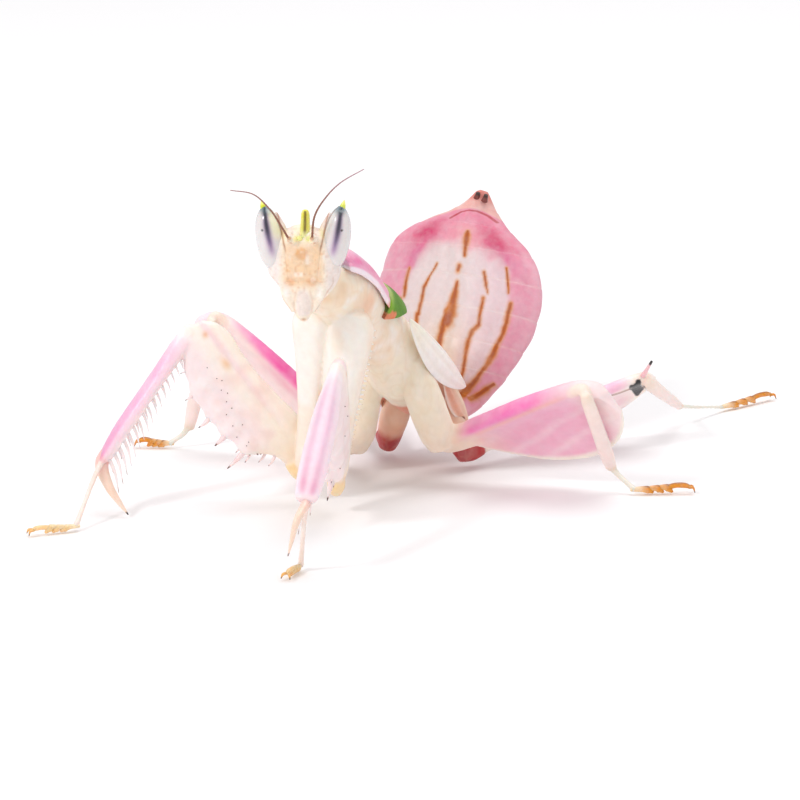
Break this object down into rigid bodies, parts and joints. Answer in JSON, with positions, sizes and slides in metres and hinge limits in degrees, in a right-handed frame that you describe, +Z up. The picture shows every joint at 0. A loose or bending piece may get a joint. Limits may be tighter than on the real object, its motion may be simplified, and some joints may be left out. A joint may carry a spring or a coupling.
{
  "type": "orchid mantis model",
  "caption": "Life-size still model of a nearly grown orchid mantis nymph, standing with petal-like legs, curled abdomen and turned head.",
  "frame": {"origin": "on the floor, under the middle of the bounding box", "axes": "+Z up; the mantis faces -Y, and her left side is towards +X"},
  "size_m": [0.0436, 0.0616, 0.0271],
  "materials": {
    "ivory_cuticle": "waxy satin",
    "pink_cuticle": "waxy satin",
    "pearly_eye": "glossy",
    "leaf_green_cuticle": "waxy satin",
    "umber_feeler": "satin",
    "ochre_foot": "satin"
  },
  "bodies": {
    "root": {"head": "ivory_cuticle", "left_eye": "pearly_eye", "right_eye": "pearly_eye", "mouthparts": "ivory_cuticle", "ocellar_horn": "leaf_green_cuticle", "left_antenna": "umber_feeler", "right_antenna": "umber_feeler", "neck": "ivory_cuticle", "prothorax": "ivory_cuticle", "pronotum": "pink_cuticle", "mesonotum": "leaf_green_cuticle", "mesothorax": "ivory_cuticle", "metathorax": "ivory_cuticle", "left_forewing_pad": "ivory_cuticle", "right_forewing_pad": "ivory_cuticle", "left_hindwing_pad": "ivory_cuticle", "right_hindwing_pad": "ivory_cuticle", "abdomen_1": "pink_cuticle", "abdomen_2": "pink_cuticle", "abdomen_3": "pink_cuticle", "abdomen_4": "pink_cuticle", "abdomen_5": "pink_cuticle", "abdomen_6": "pink_cuticle", "abdomen_7": "pink_cuticle", "abdomen_8": "pink_cuticle", "abdomen_9": "pink_cuticle", "left_cercus": "umber_feeler", "right_cercus": "umber_feeler", "left_fore_coxa": "ivory_cuticle", "left_fore_trochanter": "ivory_cuticle", "left_fore_femur": "ivory_cuticle", "left_fore_tibia": "pink_cuticle", "left_fore_tarsus": "ochre_foot", "right_fore_coxa": "ivory_cuticle", "right_fore_trochanter": "ivory_cuticle", "right_fore_femur": "ivory_cuticle", "right_fore_tibia": "pink_cuticle", "right_fore_tarsus": "ochre_foot", "left_mid_coxa": "ivory_cuticle", "left_mid_trochanter": "ivory_cuticle", "left_mid_femur": "pink_cuticle", "left_mid_tibia": "ivory_cuticle", "left_mid_tarsus": "ochre_foot", "right_mid_coxa": "ivory_cuticle", "right_mid_trochanter": "ivory_cuticle", "right_mid_femur": "pink_cuticle", "right_mid_tibia": "ivory_cuticle", "right_mid_tarsus": "ochre_foot", "left_hind_coxa": "ivory_cuticle", "left_hind_trochanter": "ivory_cuticle", "left_hind_femur": "pink_cuticle", "left_hind_tibia": "ivory_cuticle", "left_hind_tarsus": "ochre_foot", "right_hind_coxa": "ivory_cuticle", "right_hind_trochanter": "ivory_cuticle", "right_hind_femur": "pink_cuticle", "right_hind_tibia": "ivory_cuticle", "right_hind_tarsus": "ochre_foot"}
  },
  "joints": []
}
